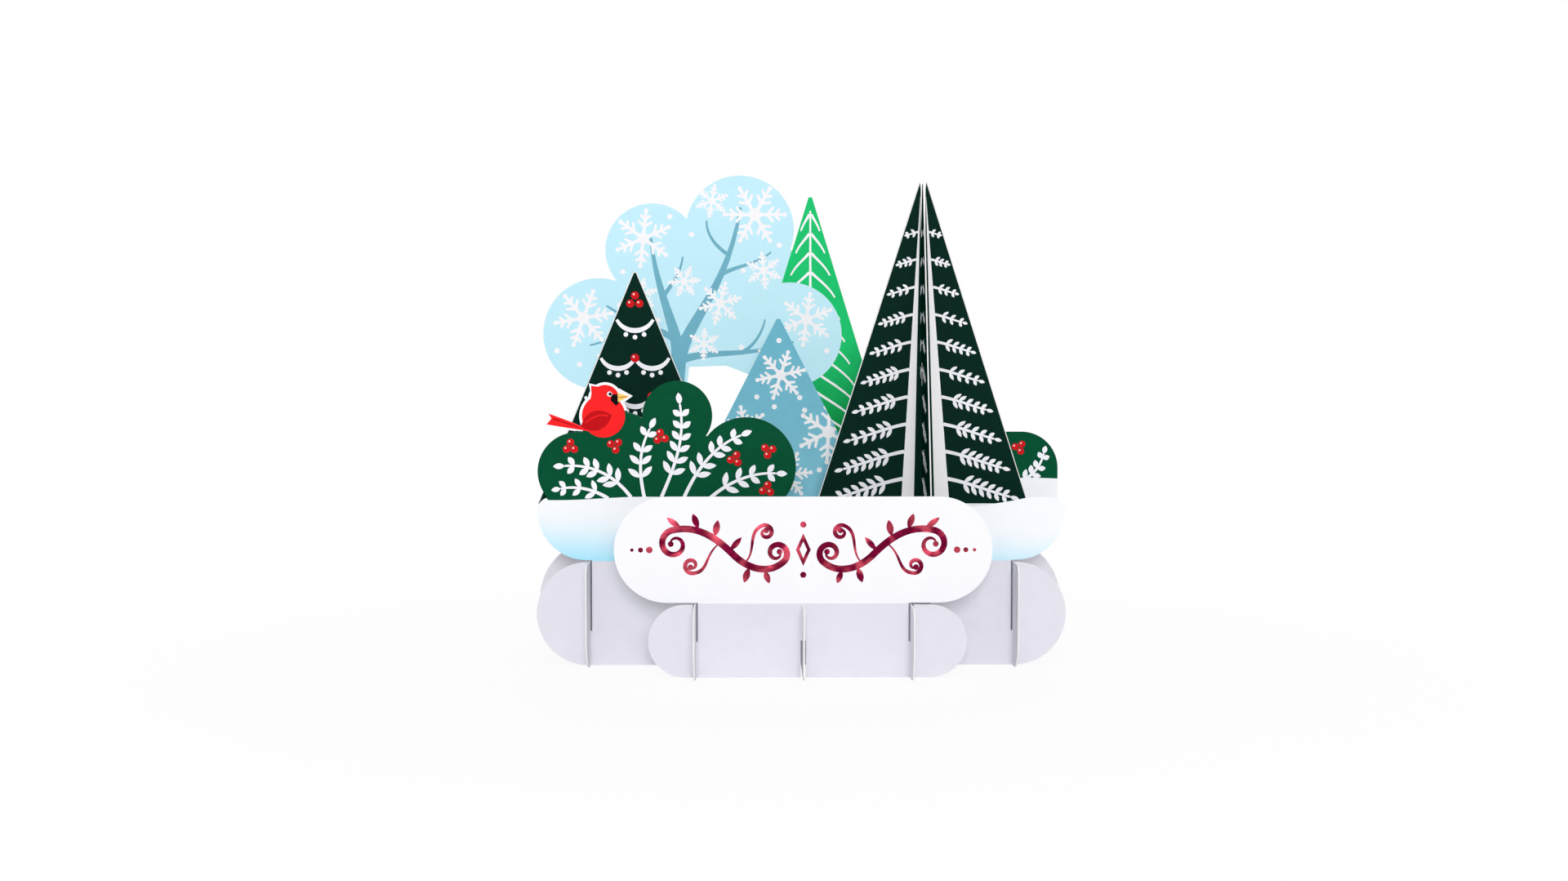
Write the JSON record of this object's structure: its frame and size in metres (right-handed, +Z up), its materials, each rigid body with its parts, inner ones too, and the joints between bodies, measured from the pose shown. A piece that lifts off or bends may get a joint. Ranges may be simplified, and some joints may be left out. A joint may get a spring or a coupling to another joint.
{
  "type": "pop-up greeting card",
  "caption": "Free-standing slotted paper card: die-cut winter scene panels stand in layers on a lattice of cross strips that shears to fold the card flat.",
  "frame": {"origin": "on the table under the middle crossing of the lattice, on the lower edge of the centre strip", "axes": "+Z up, the front faces -Y, +X to the viewer's right along the picture panels"},
  "size_m": [0.1486, 0.104, 0.1348],
  "materials": {
    "banner_card": "satin coated card",
    "snow_card": "satin coated card",
    "forest_card": "satin coated card",
    "frost_card": "satin coated card",
    "crown_card": "satin coated card",
    "strip_card": "satin coated card"
  },
  "bodies": {
    "front_banner_panel": {"front_banner_panel": "banner_card"},
    "snow_bush_panel": {"snow_bush_panel": "snow_card"},
    "dark_trees_panel": {"dark_trees_panel": "forest_card"},
    "frost_tree_panel": {"frost_tree_panel": "frost_card"},
    "crown_tree_panel": {"crown_tree_panel": "crown_card"},
    "left_outer_strip": {"left_outer_strip": "strip_card"},
    "left_inner_strip": {"left_inner_strip": "strip_card"},
    "centre_strip": {"centre_strip": "strip_card"},
    "right_inner_strip": {"right_inner_strip": "strip_card"},
    "right_outer_strip": {"right_outer_strip": "strip_card"},
    "tree_wing_panel": {"tree_wing_panel": "forest_card"}
  },
  "joints": [
    {"name": "lattice_fold", "type": "hinge", "parent": "dark_trees_panel", "child": "centre_strip", "pos_m": [0, 0, 0], "axis": [0, 0, 1], "range_deg": [-55, 55]},
    {"name": "left_outer_pivot", "type": "hinge", "parent": "dark_trees_panel", "child": "left_outer_strip", "pos_m": [-0.056, 0, 0], "axis": [0, 0, 1], "range_deg": [-55, 55]},
    {"name": "left_inner_pivot", "type": "hinge", "parent": "dark_trees_panel", "child": "left_inner_strip", "pos_m": [-0.0274, 0, 0], "axis": [0, 0, 1], "range_deg": [-55, 55]},
    {"name": "right_inner_pivot", "type": "hinge", "parent": "dark_trees_panel", "child": "right_inner_strip", "pos_m": [0.0274, 0, 0], "axis": [0, 0, 1], "range_deg": [-55, 55]},
    {"name": "right_outer_pivot", "type": "hinge", "parent": "dark_trees_panel", "child": "right_outer_strip", "pos_m": [0.056, 0, 0], "axis": [0, 0, 1], "range_deg": [-55, 55]},
    {"name": "wing_pivot", "type": "hinge", "parent": "dark_trees_panel", "child": "tree_wing_panel", "pos_m": [0.0335, 0, 0], "axis": [0, 0, 1], "range_deg": [-55, 55]},
    {"name": "banner_pivot", "type": "hinge", "parent": "centre_strip", "child": "front_banner_panel", "pos_m": [0, -0.04, 0], "axis": [0, 0, 1], "range_deg": [-55, 55]},
    {"name": "snow_pivot", "type": "hinge", "parent": "centre_strip", "child": "snow_bush_panel", "pos_m": [0, -0.02, 0], "axis": [0, 0, 1], "range_deg": [-55, 55]},
    {"name": "frost_pivot", "type": "hinge", "parent": "centre_strip", "child": "frost_tree_panel", "pos_m": [0, 0.02, 0], "axis": [0, 0, 1], "range_deg": [-55, 55]},
    {"name": "crown_pivot", "type": "hinge", "parent": "centre_strip", "child": "crown_tree_panel", "pos_m": [0, 0.04, 0], "axis": [0, 0, 1], "range_deg": [-55, 55]}
  ],
  "couplings": [
    {"joint": "left_outer_pivot", "follows": "lattice_fold", "ratio": 1},
    {"joint": "left_inner_pivot", "follows": "lattice_fold", "ratio": 1},
    {"joint": "right_inner_pivot", "follows": "lattice_fold", "ratio": 1},
    {"joint": "right_outer_pivot", "follows": "lattice_fold", "ratio": 1},
    {"joint": "wing_pivot", "follows": "lattice_fold", "ratio": 1},
    {"joint": "banner_pivot", "follows": "lattice_fold", "ratio": -1},
    {"joint": "snow_pivot", "follows": "lattice_fold", "ratio": -1},
    {"joint": "frost_pivot", "follows": "lattice_fold", "ratio": -1},
    {"joint": "crown_pivot", "follows": "lattice_fold", "ratio": -1}
  ]
}
